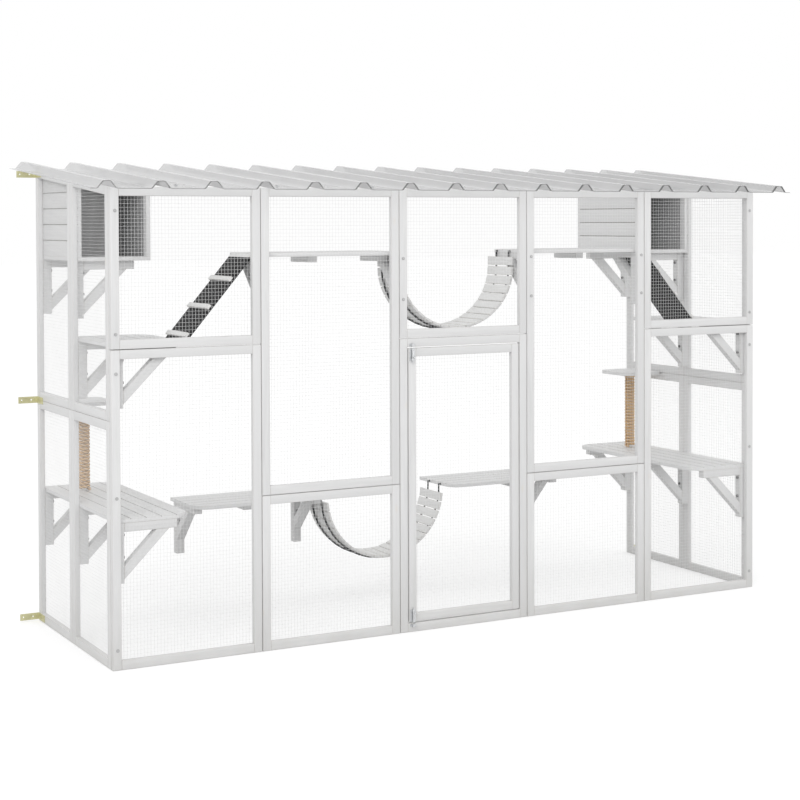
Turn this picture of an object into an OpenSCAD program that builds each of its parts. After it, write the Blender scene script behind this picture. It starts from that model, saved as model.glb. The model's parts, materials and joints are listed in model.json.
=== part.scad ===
// Window box catio: a lean-to cage of five framed mesh bays with two framed
// mesh ends, a clear corrugated roof, a hinged door with two barrel bolts, and
// shelves, ramps, slatted bridges, sisal posts and two cat boxes inside.
// X runs along the front, Y from the front to the house wall, Z is up.
// The origin is at the middle of the whole, on the ground.

/* [Frame] */
// Width of one bay of the front
bay_w = 600; // [560:5:660]
// Height of a short panel
short_h = 600; // [520:5:680]
// Height of a tall panel
tall_h = 1183; // [1120:1:1240]
// Width of one panel of an end wall
side_w = 460; // [440:5:520]
// Height of the lower panels of an end wall
side_low_h = 918; // [800:1:1000]
// Width of a stile or rail
stile_w = 35; // [28:1:45]
// Thickness of every panel
panel_t = 20; // [16:1:26]
// Hairline between two panels that stand side by side
seam = 0.6; // [0.3:0.1:0.9]

/* [Door] */
// Gap round the leaf
door_gap = 4; // [3:0.5:6]
// Height of a hinge
hinge_h = 75; // [50:5:100]
// Width of one hinge plate
hinge_w = 26; // [18:1:30]
// Radius of a hinge knuckle
knuckle_r = 5; // [4:0.5:6]
// Radius of a hinge pin
pin_r = 2.5; // [2:0.25:3]
// Distance from the ends of the leaf to the hinges
hinge_inset = 110; // [60:5:200]
// Length of a barrel bolt's plate
bolt_h = 50; // [48:1:70]
// Width of a barrel bolt's plate
bolt_w = 26; // [22:1:32]
// Radius of a barrel bolt's rod
rod_r = 4; // [3:0.5:5]
// Throw of a barrel bolt
bolt_throw = 20; // [16:1:22]
// Thickness of the steel fittings
steel_t = 1.6; // [1:0.1:2]

/* [Roof] */
// Slope of the roof in degrees
roof_slope = 5.4; // [3:0.1:8]
// Overhang of the sheet past each end wall
roof_side = 109; // [95:1:125]
// Overhang of the sheet past the front
roof_front = 120; // [60:5:200]
// Distance from rib to rib
rib_pitch = 206.4; // [205:0.1:208]
// Width of a rib at its foot
rib_base = 72; // [60:1:90]
// Width of a rib at its crest
rib_top = 26; // [20:1:36]
// Height of a rib
rib_h = 28; // [18:1:34]
// Thickness of the sheet
sheet_t = 1.4; // [1:0.1:2.4]

/* [Mesh] */
// Distance from strand to strand
net_pitch = 130; // [115:5:160]
// Width of a strand
strand_w = 3; // [2:0.5:4]
// Thickness of a net
net_t = 2; // [1.5:0.5:3]
// Depth of a net behind the inner face of its frame
net_inset = 2; // [1:0.5:5]

/* [Shelves] */
// Thickness of every board
board_t = 15; // [12:1:18]
// Depth of a shelf
shelf_d = 300; // [270:5:320]
// Radius of a shelf's free corners
corner_r = 75; // [40:5:100]
// Width of the groove between two planks
groove_w = 2.5; // [1.5:0.5:4]
// Top of the low platforms
platform_z = 555; // [480:5:620]
// Top of the shelves half way up
mid_z = 1203; // [1150:1:1260]
// Top of the high shelves behind the front
high_z = 1530; // [1480:5:1560]
// Top of the low shelves on the house wall
low_z = 465; // [420:5:520]
// Top of the perches
perch_z = 925; // [860:5:960]
// Side of a square perch
perch_w = 220; // [210:5:300]
// Middle of a perch, measured from the house wall
perch_back = 190; // [160:5:240]
// Outer end of a high or low shelf, measured from the inside of the end wall
shelf_end = 560; // [540:5:600]
// Inner end of the right high shelf, and of both low ones, from the middle
shelf_gap = 305; // [300:1:310]

/* [Cat boxes] */
// Top of the floor of a cat box
box_z = 1514; // [1480:1:1540]
// Front of a cat box, measured from the front face
box_y = 450; // [400:5:500]
// Thickness of the walls of a cat box
box_t = 18; // [12:1:24]
// Space between the house wall and a cat box
box_back = 15; // [5:1:30]
// Space between the lid of a cat box and the roof
lid_gap = 8; // [5:1:20]
// Distance from groove to groove on its walls
plank_h = 64; // [50:1:80]

/* [Brackets] */
// Length of a bracket from its wall
arm_l = 242; // [230:1:265]
// Height of a bracket below its board
leg_h = 225; // [215:1:260]
// Height of the arm of a bracket on an end wall
arm_h = 34; // [28:1:40]
// Distance from its corner to the outside of its brace
brace_reach = 245; // [225:1:250]
// Height of the arm of a bracket under a high or low shelf
shelf_arm_h = 25; // [22:1:34]
// Distance from its corner to the outside of its brace
shelf_reach = 200; // [185:1:225]
// Length of one leg of a steel wall angle
angle_l = 80; // [60:1:90]
// Height of a steel wall angle
angle_h = 27; // [20:1:35]
// Thickness of a steel wall angle
angle_t = 3; // [2:0.5:4]
// Distance between the two holes of a leg
hole_pitch = 40; // [30:1:45]
// Radius of a screw hole
hole_r = 3; // [2:0.25:4]

/* [Ramps and bridges] */
// Width of a ramp
ramp_w = 200; // [160:5:240]
// Front edge of a ramp
ramp_y = 40; // [30:5:110]
// Reach of a ramp's foot over the shelf half way up
ramp_foot = 20; // [10:1:60]
// Thickness of a ramp
ramp_t = 12; // [9:1:18]
// Drop from one ramp batten to the next
batten_drop = 104; // [90:1:106]
// Width of a ramp batten
batten_w = 20; // [14:1:26]
// Thickness of a ramp batten
batten_t = 10; // [6:1:14]
// Overhang of a ramp batten on each side
batten_over = 5; // [0:1:10]
// Length of a bridge slat
slat_l = 195; // [180:5:230]
// Width of a bridge slat
slat_w = 36; // [30:1:37]
// Thickness of a bridge slat
slat_t = 10; // [8:1:12]
// Distance from slat to slat along the rope
slat_pitch = 42; // [41:0.5:46]
// Sag of the high bridge
high_sag = 320; // [290:5:330]
// Straight drop at each end of the high bridge
high_drop = 60; // [20:5:90]
// Sag of the low bridge
low_sag = 305; // [290:5:330]
// Straight drop at each end of the low bridge
low_drop = 10; // [5:5:40]
// Radius of a bridge rope
bridge_rope_r = 4; // [3:0.5:5]
// Distance between the two ropes of a bridge
rope_gap = 100; // [80:1:130]
// Front edge of the high bridge
high_bridge_y = 90; // [50:5:90]
// Front edge of the low bridge
low_bridge_y = 695; // [680:5:710]

/* [Sisal posts] */
// Outer radius of a wound post
post_r = 25; // [23:0.5:30]
// Middle of a post, measured from the inside of the end wall
post_x = 117; // [100:1:140]
// Radius of the sisal rope
sisal_r = 6.75; // [6:0.25:6.75]
// Turns of sisal rope
turns = 24; // [18:1:24]
// Space between the rope and what it is wound on
wrap_gap = 0.3; // [0.2:0.1:0.5]

/* [Hidden] */

bays = 5;
width = bays * bay_w;
depth = panel_t + 2 * side_w;
front_h = short_h + tall_h;
side_rise = tan(roof_slope);
front_y = -(depth - roof_front - (rib_h + sheet_t) * sin(roof_slope)) / 2;
inner_x = -width / 2 + panel_t;
joint = 0.2;
seat = 0.3;
running = 0.06;

paint = "ghostwhite";
steel = "silver";
wire = "dimgray";
timber = "whitesmoke";
black = "#26262a";
sisal = "#b59a6d";

function roof_z(y) = front_h + y * side_rise;
function bay_x(i) = -width / 2 + i * bay_w;
function low_h(i) = i % 2 == 0 ? tall_h : short_h;

// A wall of children on the left end, and its twin on the right end.
module both_ends() {
    children();
    mirror([1, 0, 0]) children();
}

// Extrudes an outline drawn in Y and Z along X.
module prism_x(points, length) {
    rotate([90, 0, 90]) linear_extrude(length) polygon(points);
}

// Extrudes an outline drawn in X and Z along Y, from y = 0 backwards.
module prism_y(points, length) {
    translate([0, length, 0]) rotate([90, 0, 0]) linear_extrude(length) polygon(points);
}

// ---- Framed panels -------------------------------------------------------

// Two full-height stiles with two rails butted between them.
module bars(w, h) {
    for (x = [0, w - stile_w])
        translate([x, 0, 0]) cube([stile_w, panel_t, h]);
    for (z = [0, h - stile_w])
        translate([stile_w + joint, 0, z]) cube([w - 2 * (stile_w + joint), panel_t, stile_w]);
}

function low_w() = bay_w - seam;
function panel_z(i, high) = high ? low_h(i) : 0;
function panel_h(i, high) = high ? front_h - low_h(i) : low_h(i) - seam;

module front_frame(i, high) {
    color(paint)
        translate([bay_x(i) + seam / 2, 0, panel_z(i, high)])
            bars(low_w(), panel_h(i, high));
}

function side_y(j) = panel_t + seam + j * side_w;
function side_l() = side_w - seam;
function side_bottom(high) = high ? side_low_h + seam : 0;
function side_top(y, high) = high ? roof_z(y) : side_low_h;
function rail_h(high) = high ? stile_w / cos(roof_slope) : stile_w;

// A stretch of an end wall between two distances from the front.
function side_bar(y0, y1, high) = [
    [y0, side_bottom(high)], [y1, side_bottom(high)],
    [y1, side_top(y1, high)], [y0, side_top(y0, high)]
];

module side_frame(j, high) {
    y0 = side_y(j);
    y1 = y0 + side_l();
    a = y0 + stile_w + joint;
    b = y1 - stile_w - joint;
    z = side_bottom(high);
    t = rail_h(high);
    color(paint) translate([-width / 2, 0, 0]) {
        prism_x(side_bar(y0, y0 + stile_w, high), panel_t);
        prism_x(side_bar(y1 - stile_w, y1, high), panel_t);
        prism_x([[a, z], [b, z], [b, z + stile_w], [a, z + stile_w]], panel_t);
        prism_x([
            [a, side_top(a, high) - t], [b, side_top(b, high) - t],
            [b, side_top(b, high)], [a, side_top(a, high)]
        ], panel_t);
    }
}

// ---- Welded mesh ---------------------------------------------------------

// A sheet of mesh, h0 high at its near edge and h1 at its far edge.
module net(w, h0, h1) {
    columns = round(w / net_pitch);
    rows = round(h0 / net_pitch);
    cell_w = (w - strand_w) / columns;
    cell_h = (h0 - strand_w) / rows;
    linear_extrude(net_t) difference() {
        polygon([[0, 0], [w, 0], [w, h1], [0, h0]]);
        intersection() {
            polygon([
                [strand_w, strand_w], [w - strand_w, strand_w],
                [w - strand_w, h1 - strand_w], [strand_w, h0 - strand_w]
            ]);
            for (i = [0 : columns - 1], j = [0 : rows - 1])
                translate([strand_w + i * cell_w, strand_w + j * cell_h])
                    square([cell_w - strand_w, (j == rows - 1 ? cell_h + h1 - h0 : cell_h) - strand_w]);
        }
    }
}

module net_in_bay(x, z, w, h) {
    translate([x, panel_t - net_inset, z]) rotate([90, 0, 0]) net(w, h, h);
}

module front_net() {
    color(wire)
        for (i = [0 : bays - 1], high = [false, true])
            if (high || i != 2)
                net_in_bay(bay_x(i) + seam / 2 + stile_w, panel_z(i, high) + stile_w,
                    low_w() - 2 * stile_w, panel_h(i, high) - 2 * stile_w);
}

module left_net() {
    w = side_l() - 2 * stile_w;
    color(wire)
        for (j = [0, 1], high = [false, true]) {
            y = side_y(j) + stile_w;
            z = side_bottom(high) + stile_w;
            translate([inner_x - net_inset - net_t, y, z]) rotate([90, 0, 90])
                net(w, side_top(y, high) - rail_h(high) - z,
                    side_top(y + w, high) - rail_h(high) - z);
        }
}

// ---- Door ----------------------------------------------------------------

leaf_x = bay_x(2) + seam / 2 + stile_w + door_gap;
leaf_w = low_w() - 2 * (stile_w + door_gap);
leaf_z = stile_w + door_gap;
leaf_h = panel_h(2, false) - 2 * (stile_w + door_gap);

module door_leaf() {
    color(paint) translate([leaf_x, 0, leaf_z]) bars(leaf_w, leaf_h);
}

module door_net() {
    color(wire)
        net_in_bay(leaf_x + stile_w, leaf_z + stile_w, leaf_w - 2 * stile_w, leaf_h - 2 * stile_w);
}

// The hinge line stands behind the gap on the right of the leaf.
hinge_x = leaf_x + leaf_w + door_gap / 2;
hinge_y = panel_t + knuckle_r;
knuckle_h = hinge_h / 3;

module at_hinges() {
    for (z = [leaf_z + hinge_inset, leaf_z + leaf_h - hinge_inset - hinge_h])
        translate([hinge_x, hinge_y, z]) children();
}

// One half of a hinge. Its knuckles are the thirds of the height in a list.
module hinge_half(side, thirds) {
    difference() {
        union() {
            for (k = thirds)
                translate([0, 0, k * knuckle_h + joint / 2]) {
                    cylinder(h = knuckle_h - joint, r = knuckle_r, $fn = 40);
                    translate([side > 0 ? 0 : -knuckle_r - 1, -knuckle_r, 0])
                        cube([knuckle_r + 1, steel_t, knuckle_h - joint]);
                }
            translate([side > 0 ? knuckle_r + seat : -hinge_w, -knuckle_r, 0])
                cube([hinge_w - knuckle_r - seat, steel_t, hinge_h]);
        }
        translate([0, 0, -1]) cylinder(h = hinge_h + 2, r = pin_r + running, $fn = 40);
    }
}

module hinge_frame_plates() {
    color(steel) at_hinges() hinge_half(1, [0, 2]);
}

module hinge_door_plates() {
    color(steel) at_hinges() hinge_half(-1, [1]);
}

module hinge_pins() {
    head_h = 2;
    color(steel) at_hinges() {
        cylinder(h = hinge_h, r = pin_r, $fn = 40);
        for (z = [-head_h, hinge_h])
            translate([0, 0, z]) cylinder(h = head_h, r = knuckle_r - 1, $fn = 40);
    }
}

// ---- Barrel bolts --------------------------------------------------------

guide_h = 8;
guide_wall = 1.8;
rod_y = -(steel_t + 1.4 + rod_r);
rod_end = 1;
bolt_x = leaf_x + stile_w / 2;
knob_l = 9;
knob_r = 5;
knob_pin_r = 2.4;

// Puts a bolt at the top of the leaf, shooting up, or at its foot, shooting down.
module at_bolt(upper) {
    translate([bolt_x, 0, upper ? leaf_z + leaf_h : leaf_z])
        mirror([0, 0, upper ? 0 : 1]) translate([0, 0, -bolt_h - rod_end]) children();
}

// A plate with a guide at each end, in which the rod slides.
module bolt_body() {
    difference() {
        union() {
            translate([-bolt_w / 2, -steel_t, 0]) cube([bolt_w, steel_t, bolt_h]);
            for (z = [0, bolt_h - guide_h])
                translate([0, rod_y, z]) {
                    cylinder(h = guide_h, r = rod_r + guide_wall, $fn = 40);
                    translate([-rod_r - guide_wall, 0, 0])
                        cube([2 * (rod_r + guide_wall), -rod_y - steel_t / 2, guide_h]);
                }
        }
        translate([0, rod_y, -1]) cylinder(h = bolt_h + 2, r = rod_r + running, $fn = 40);
    }
}

module bolt_bodies() {
    color(steel) {
        at_bolt(true) bolt_body();
        at_bolt(false) bolt_body();
    }
}

// The drawn rod, with its knob between the guides at the drawn end.
module bolt_rod() {
    knob_z = guide_h + knob_r + seat;
    translate([0, rod_y, -guide_h]) cylinder(h = bolt_h + guide_h, r = rod_r, $fn = 40);
    translate([0, rod_y, knob_z]) rotate([90, 0, 0]) {
        cylinder(h = rod_r + knob_l, r = knob_pin_r, $fn = 32);
        translate([0, 0, rod_r + knob_l]) sphere(r = knob_r, $fn = 32);
    }
}

module upper_bolt_rod() {
    color(steel) at_bolt(true) bolt_rod();
}

module lower_bolt_rod() {
    color(steel) at_bolt(false) bolt_rod();
}

// A strap with two feet on the rail, bridging the rod's way. The shot rod ends 1 mm past it.
module bolt_keeper() {
    slip = 0.6;
    foot = 7;
    keeper_h = bolt_throw - rod_end - door_gap - 3;
    a = rod_r + slip;
    b = a + steel_t;
    d = -rod_y + a;
    translate([0, 0, bolt_h + rod_end + door_gap + 2]) linear_extrude(keeper_h)
        polygon([
            [-b - foot, 0], [-a, 0], [-a, -d], [a, -d], [a, 0], [b + foot, 0],
            [b + foot, -steel_t], [b, -steel_t], [b, -d - steel_t],
            [-b, -d - steel_t], [-b, -steel_t], [-b - foot, -steel_t]
        ]);
}

module bolt_keepers() {
    color(steel) {
        at_bolt(true) bolt_keeper();
        at_bolt(false) bolt_keeper();
    }
}

// ---- Roof ----------------------------------------------------------------

ribs = 2 * floor((width / 2 + roof_side - rib_base / 2) / rib_pitch + 0.5);
function rib_x(i) = (i - (ribs - 1) / 2) * rib_pitch;
roof_edge = width / 2 + roof_side;
roof_line = concat(
    [[-roof_edge, 0]],
    [for (i = [0 : ribs - 1], p = [
        [-rib_base / 2, 0], [-rib_top / 2, rib_h], [rib_top / 2, rib_h], [rib_base / 2, 0]
    ]) [rib_x(i) + p[0], p[1]]],
    [[roof_edge, 0]]
);

// The ribbed sheet lies on the frames and runs up to the house wall.
module roof_sheet() {
    last = len(roof_line) - 1;
    upper = [for (i = [0 : last]) roof_line[last - i] + [0, sheet_t]];
    color("lightcyan", 0.6)
        translate([0, depth, roof_z(depth)]) rotate([90 + roof_slope, 0, 0])
            linear_extrude((depth + roof_front) / cos(roof_slope))
                polygon(concat(roof_line, upper));
}

module roof_screw(x, y) {
    translate([x, y, roof_z(y)]) rotate([roof_slope, 0, 0]) translate([0, 0, sheet_t + seat]) {
        cylinder(h = 2, r = 7, $fn = 24);
        translate([0, 0, 2]) cylinder(h = 4, r = 4, $fn = 6);
    }
}

// Screws stand in the valleys, over the front rail and over the end walls.
module roof_screws() {
    color(steel) {
        for (k = [-6 : 2 : 6])
            roof_screw(k * rib_pitch, panel_t / 2);
        both_ends()
            for (j = [0, 1], end = [stile_w / 2, side_l() - stile_w / 2])
                roof_screw(-width / 2 + panel_t / 2, side_y(j) + end);
    }
}

// ---- Boards --------------------------------------------------------------

// A board against a wall along X, with rounded free corners and plank grooves.
module board(length, d, r) {
    planks = round(d / 60);
    difference() {
        linear_extrude(board_t) {
            translate([r, 0]) square([length - 2 * r, d]);
            square([length, d - r]);
            for (x = [r, length - r])
                translate([x, d - r]) circle(r, $fn = 64);
        }
        for (k = [1 : planks - 1])
            translate([-1, k * d / planks - groove_w / 2, board_t - groove_w])
                cube([length + 2, groove_w, board_t]);
    }
}

// A board on the left end wall, between two distances from the front.
module side_board(y0, y1, top, d, r) {
    translate([inner_x, y1, top - board_t]) rotate([0, 0, -90]) board(y1 - y0, d, r);
}

mid_end = side_y(1) + stile_w;

module left_platform() {
    color(timber) side_board(panel_t, depth - seam, platform_z, shelf_d, corner_r);
}

module left_mid_shelf() {
    color(timber) side_board(panel_t, mid_end, mid_z, shelf_d, corner_r);
}

perch_y = depth - perch_back;

module left_perch() {
    r = corner_r / 2;
    color(timber) translate([0, 0, perch_z - board_t]) linear_extrude(board_t) {
        translate([inner_x, perch_y - perch_w / 2 + r]) square([perch_w, perch_w - 2 * r]);
        translate([inner_x + r, perch_y - perch_w / 2]) square([perch_w - 2 * r, perch_w]);
        for (x = [r, perch_w - r], y = [r, perch_w - r])
            translate([inner_x + x, perch_y - perch_w / 2 + y]) circle(r, $fn = 64);
    }
}

cleat_h = 25;
cleat_y = 70;
shelf_outer = inner_x + shelf_end;
left_shelf_inner = bay_x(2) + seam / 2 + stile_w;

// A shelf behind the front, with cleats across the planks underneath.
module high_shelf(x0, x1, cleats) {
    translate([x0, panel_t, high_z - board_t]) board(x1 - x0, shelf_d, corner_r);
    for (x = cleats)
        translate([x - stile_w / 2, panel_t + cleat_y, high_z - board_t - cleat_h])
            cube([stile_w, arm_l - cleat_y, cleat_h - joint]);
}

module left_high_shelf() {
    color(timber)
        high_shelf(shelf_outer, left_shelf_inner, [
            shelf_outer + 0.43 * (left_shelf_inner - shelf_outer), left_shelf_inner - 61
        ]);
}

module right_high_shelf() {
    color(timber)
        high_shelf(shelf_gap, -shelf_outer, [shelf_gap + 0.52 * (-shelf_outer - shelf_gap)]);
}

// A shelf on the house wall with a cleat underneath, held by the wall alone.
module left_low_shelf() {
    length = -shelf_outer - shelf_gap;
    color(timber) translate([-shelf_gap, depth, low_z - board_t]) {
        rotate([0, 0, 180]) board(length, shelf_d, corner_r);
        translate([-0.61 * length, -arm_l, -cleat_h])
            cube([stile_w, arm_l - cleat_y, cleat_h - joint]);
    }
}

// ---- Cat boxes -----------------------------------------------------------

box_end = depth - box_back;

module left_box_floor() {
    color(timber)
        translate([inner_x, box_y, box_z - board_t]) cube([shelf_d, box_end - box_y, board_t]);
}

function lid_z(y) = roof_z(y) - lid_gap;
lid_t = 12;

// An end wall of a cat box, grooved outside where its planks meet.
module box_wall(outside) {
    difference() {
        prism_x([
            [box_y, box_z], [box_end - box_t - joint, box_z],
            [box_end - box_t - joint, lid_z(box_end - box_t) - lid_t - joint],
            [box_y, lid_z(box_y) - lid_t - joint]
        ], box_t);
        for (z = [box_z + plank_h : plank_h : lid_z(box_y) - lid_t - plank_h / 3])
            translate([outside ? -groove_w : box_t - groove_w, box_y - 1, z - groove_w / 2])
                cube([2 * groove_w, box_end - box_y + 2, groove_w]);
    }
}

// Two end walls, a back and a sloping lid. The front is open for the cat.
module left_cat_box() {
    color(timber) {
        translate([inner_x, 0, 0]) box_wall(true);
        translate([inner_x + shelf_d - box_t, 0, 0]) box_wall(false);
        translate([inner_x, box_end - box_t, box_z])
            cube([shelf_d, box_t, lid_z(box_end - box_t) - lid_t - joint - box_z]);
        translate([inner_x, 0, 0]) prism_x([
            [box_y, lid_z(box_y) - lid_t], [box_end, lid_z(box_end) - lid_t],
            [box_end, lid_z(box_end)], [box_y, lid_z(box_y)]
        ], shelf_d);
    }
}

// ---- Wooden brackets -----------------------------------------------------

// Leg, arm and brace of one bracket. It reaches along +X from a wall at x = 0,
// with the top of its arm at z = 0 and its width along +Y.
module bracket(arm, reach) {
    across = stile_w * sqrt(2);
    a = stile_w + joint;
    b = arm + joint;
    prism_y([[0, 0], [stile_w, 0], [stile_w, -leg_h], [0, -leg_h]], stile_w);
    prism_y([[a, 0], [arm_l, 0], [arm_l, -arm], [a, -arm]], stile_w);
    prism_y([[a, a - reach], [a, a + across - reach], [reach - across - b, -b], [reach - b, -b]], stile_w);
}

module side_bracket(y, top) {
    translate([inner_x, y, top - board_t]) bracket(arm_h, brace_reach);
}

side_bracket_y = [panel_t + seam, side_y(1) - seam - stile_w, depth - stile_w];
left_bracket_places = [
    for (y = side_bracket_y) [y, platform_z],
    for (k = [0, 1]) [side_bracket_y[k], mid_z],
    for (y = [side_y(1), side_bracket_y[2]]) [y, box_z]
];

module left_brackets() {
    color(timber)
        for (p = left_bracket_places)
            side_bracket(p[0], p[1]);
}

front_bracket_x = [
    shelf_outer + stile_w, left_shelf_inner - stile_w / 2,
    shelf_gap + stile_w / 2, -shelf_outer - stile_w
];

// Brackets on the stiles of the front, under the high shelves.
module front_brackets() {
    color(timber)
        for (x = front_bracket_x)
            translate([x + stile_w / 2, panel_t, high_z - board_t]) rotate([0, 0, 90])
                bracket(shelf_arm_h, shelf_reach);
}

wall_bracket_x = [shelf_outer + 15, -shelf_gap - 48, -shelf_outer - 50];

// Brackets on the house wall, two under the left low shelf and one under the
// right one.
module wall_brackets() {
    color(timber)
        for (x = wall_bracket_x)
            translate([x, depth, low_z - board_t]) rotate([0, 0, -90])
                bracket(shelf_arm_h, shelf_reach);
}

// ---- Ramps ---------------------------------------------------------------

ramp_x0 = inner_x + shelf_d - ramp_foot;
ramp_x1 = shelf_outer - seat;
ramp_run = ramp_x1 - ramp_x0;
ramp_rise = high_z - mid_z;
ramp_tilt = atan(ramp_rise / ramp_run);

// A board that leans from the shelf half way up to the end of the high shelf.
module left_ramp() {
    color(black) translate([0, ramp_y, 0]) prism_y([
        [ramp_x0, mid_z], [ramp_x1, high_z],
        [ramp_x1, high_z - ramp_t / cos(ramp_tilt)], [ramp_x0 + ramp_t / sin(ramp_tilt), mid_z]
    ], ramp_w);
}

module left_battens() {
    for (k = [1 : 3]) {
        z = high_z - k * batten_drop;
        x = ramp_x0 + (z - mid_z) / tan(ramp_tilt);
        translate([x, ramp_y - batten_over, z]) rotate([0, -ramp_tilt, 0])
            translate([-batten_w / 4, 0, joint]) cube([batten_w, ramp_w + 2 * batten_over, batten_t]);
    }
}

module ramp_battens() {
    color(timber) both_ends() left_battens();
}

// ---- Slatted bridges -----------------------------------------------------

// A bridge is [left end, right end, height of its ends, sag, front edge, drop].
high_bridge = [
    left_shelf_inner, shelf_gap, high_z - board_t / 2, high_sag, high_bridge_y, high_drop
];
low_bridge = [
    -shelf_gap, shelf_gap, low_z - board_t / 2, low_sag, low_bridge_y, low_drop
];
rope_lead = 8;

// Straight down from both ends, and half an ellipse between.
function hanging_line(b) =
    let (half = (b[1] - b[0]) / 2 - rope_lead, middle = (b[0] + b[1]) / 2)
    concat(
        [[middle - half, b[2]]],
        [for (t = [0 : 3 : 180])
            [middle - half * cos(t), b[2] - b[5] - (b[3] - b[5]) * sin(t)]],
        [[middle + half, b[2]]]
    );

// The distance along the line at each of its points.
function reached(p) =
    [for (i = 0, s = 0; i < len(p); i = i + 1, s = s + norm(p[min(i, len(p) - 1)] - p[i - 1])) s];
function slat_count(b) =
    let (s = reached(hanging_line(b)))
    floor((s[len(s) - 1] - slat_w) / slat_pitch);

// A stiff slat keeps the rope straight, so the rope bends halfway between slats.
function bends(b, y) =
    let (
        p = hanging_line(b), s = reached(p), n = slat_count(b), last = len(p) - 1,
        across = [for (i = [0 : last]) [s[i], p[i].x]],
        height = [for (i = [0 : last]) [s[i], p[i].y]]
    )
    [for (k = [0 : n])
        let (at = s[last] / 2 + (k - n / 2) * slat_pitch)
        [lookup(at, across), y, lookup(at, height)]];

// The rope's line: straight out of one shelf, along the curve, into the other.
function rope_line(b, y) = concat(
    [[b[0] + seat, y, b[2]], [b[0] + rope_lead, y, b[2]]],
    bends(b, y),
    [[b[1] - rope_lead, y, b[2]], [b[1] - seat, y, b[2]]]
);

function unit(v) = v / norm(v);
function along(p, i) = unit(p[min(i + 1, len(p) - 1)] - p[max(i - 1, 0)]);

// A tube of n sides along points, its sides set out from a fixed upright.
module tube(points, r, n, up) {
    last = len(points) - 1;
    rings = [for (i = [0 : last])
        let (t = along(points, i), u = unit(cross(up, t)), v = cross(t, u))
        for (k = [0 : n - 1]) points[i] + r * (cos(360 * k / n) * u + sin(360 * k / n) * v)];
    sides = [for (i = [0 : last - 1], k = [0 : n - 1])
        let (a = i * n + k, b = i * n + (k + 1) % n)
        for (f = [[a, b, b + n], [a, b + n, a + n]]) f];
    caps = [for (k = [1 : n - 2])
        for (f = [[0, k + 1, k], [last * n, last * n + k, last * n + k + 1]]) f];
    polyhedron(points = rings, faces = [for (f = concat(sides, caps)) [f[2], f[1], f[0]]]);
}

function rope_ys(b) = [
    b[4] + (slat_l - rope_gap) / 2, b[4] + (slat_l + rope_gap) / 2
];

module bridge_ropes() {
    color(black)
        for (b = [high_bridge, low_bridge], y = rope_ys(b))
            tube(rope_line(b, y), bridge_rope_r, 8, [0, 1, 0]);
}

// Slats lie across the ropes, each flat on the stretch from one bend to the next.
module slats(b) {
    p = bends(b, b[4]);
    for (k = [1 : slat_count(b)]) {
        run = p[k] - p[k - 1];
        translate((p[k] + p[k - 1]) / 2) rotate([0, -atan2(run.z, run.x), 0])
            translate([-slat_w / 2, 0, bridge_rope_r + seat]) cube([slat_w, slat_l, slat_t]);
    }
}

module high_bridge_slats() {
    color(timber) slats(high_bridge);
}

module low_bridge_slats() {
    color(timber) slats(low_bridge);
}

// ---- Sisal posts ---------------------------------------------------------

core_r = post_r - 2 * sisal_r - 3 * wrap_gap;
wind_r = post_r - sisal_r;
post_bottom = platform_z;
post_top = perch_z - board_t;
turn_pitch = (post_top - post_bottom - 2 * (sisal_r + wrap_gap)) / turns;
turn_rings = 12;

module post_cores() {
    color(timber) both_ends()
        translate([inner_x + post_x, perch_y, post_bottom])
            cylinder(h = post_top - post_bottom, r = core_r, $fn = 48);
}

// The middle line of the winding, with a straight end a rope wide at each end.
function turn_point(k) = [
    wind_r * cos(360 * k / turn_rings),
    wind_r * sin(360 * k / turn_rings),
    sisal_r + wrap_gap + k * turn_pitch / turn_rings
];
winding_last = turns * turn_rings;
winding_line = concat(
    [turn_point(0) - [0, 2 * sisal_r, 0]],
    [for (k = [0 : winding_last]) turn_point(k)],
    [turn_point(winding_last) + [0, 2 * sisal_r, 0]]
);
winding_gap = min([for (k = [1 : winding_last - turn_rings])
    norm(winding_line[k + turn_rings] - winding_line[k])]) - 2 * sisal_r;
echo("least gap between two turns of sisal", winding_gap);

module post_windings() {
    color(sisal) both_ends()
        translate([inner_x + post_x, perch_y, post_bottom])
            tube(winding_line, sisal_r, 6, [0, 0, 1]);
}

// ---- Fixings -------------------------------------------------------------

// A steel angle that ties an end wall to the house wall.
module wall_angle() {
    difference() {
        union() {
            translate([-angle_t, -angle_l, 0]) cube([angle_t, angle_l, angle_h]);
            translate([-angle_l, -angle_t, 0]) cube([angle_l, angle_t, angle_h]);
        }
        for (k = [0, 1]) {
            reach = angle_l - (angle_h / 2 + k * hole_pitch);
            translate([-reach, 1, angle_h / 2]) rotate([90, 0, 0])
                cylinder(h = angle_t + 2, r = hole_r, $fn = 32);
            translate([-angle_t - 1, -reach, angle_h / 2]) rotate([0, 90, 0])
                cylinder(h = angle_t + 2, r = hole_r, $fn = 32);
        }
    }
}

angle_z = [5, side_low_h - angle_h / 2, roof_z(depth - angle_l) - angle_h - 2];

module wall_angles() {
    color("goldenrod") both_ends()
        for (z = angle_z)
            translate([-width / 2, depth, z]) wall_angle();
}

// A cup-square bolt head, standing out along -Y from y = 0.
module bolt_head() {
    rotate([90, 0, 0]) {
        cylinder(h = 1.5, r = 6.5, $fn = 24);
        translate([0, 0, 1.5]) cylinder(h = 2.5, r = 4.5, $fn = 24);
    }
}

corner_bolt_z = [
    2.1 * stile_w, short_h + stile_w, tall_h - 2.55 * stile_w,
    tall_h + 1.6 * stile_w, front_h - 2.55 * stile_w
];

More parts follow.
